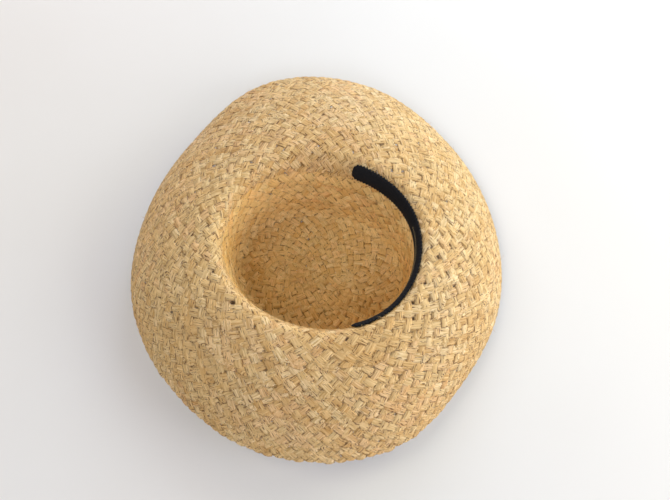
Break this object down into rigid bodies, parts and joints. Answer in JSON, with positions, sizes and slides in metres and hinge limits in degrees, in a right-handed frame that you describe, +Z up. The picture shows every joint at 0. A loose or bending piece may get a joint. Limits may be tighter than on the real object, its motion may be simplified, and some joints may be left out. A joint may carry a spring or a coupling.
{
  "type": "straw sun hat",
  "caption": "Wide-brimmed straw hat of sewn plaited braid, oval crown and drooping brim, lying crown down with the head opening up.",
  "frame": {"origin": "on the floor, under the middle of the brim's outline", "axes": "+Z up, out of the head opening; +X towards the side that holds the black strip; +Y away from the viewer of the picture"},
  "size_m": [0.381, 0.3934, 0.084],
  "materials": {
    "crown_straw": "plaited natural straw, matt, shaded inside",
    "brim_straw": "plaited natural straw, matt with a faint sheen along the strands",
    "black_ribbon": "black padded ribbon, matt"
  },
  "bodies": {
    "root": {"crown": "crown_straw", "brim": "brim_straw", "inner_band": "black_ribbon"}
  },
  "joints": []
}
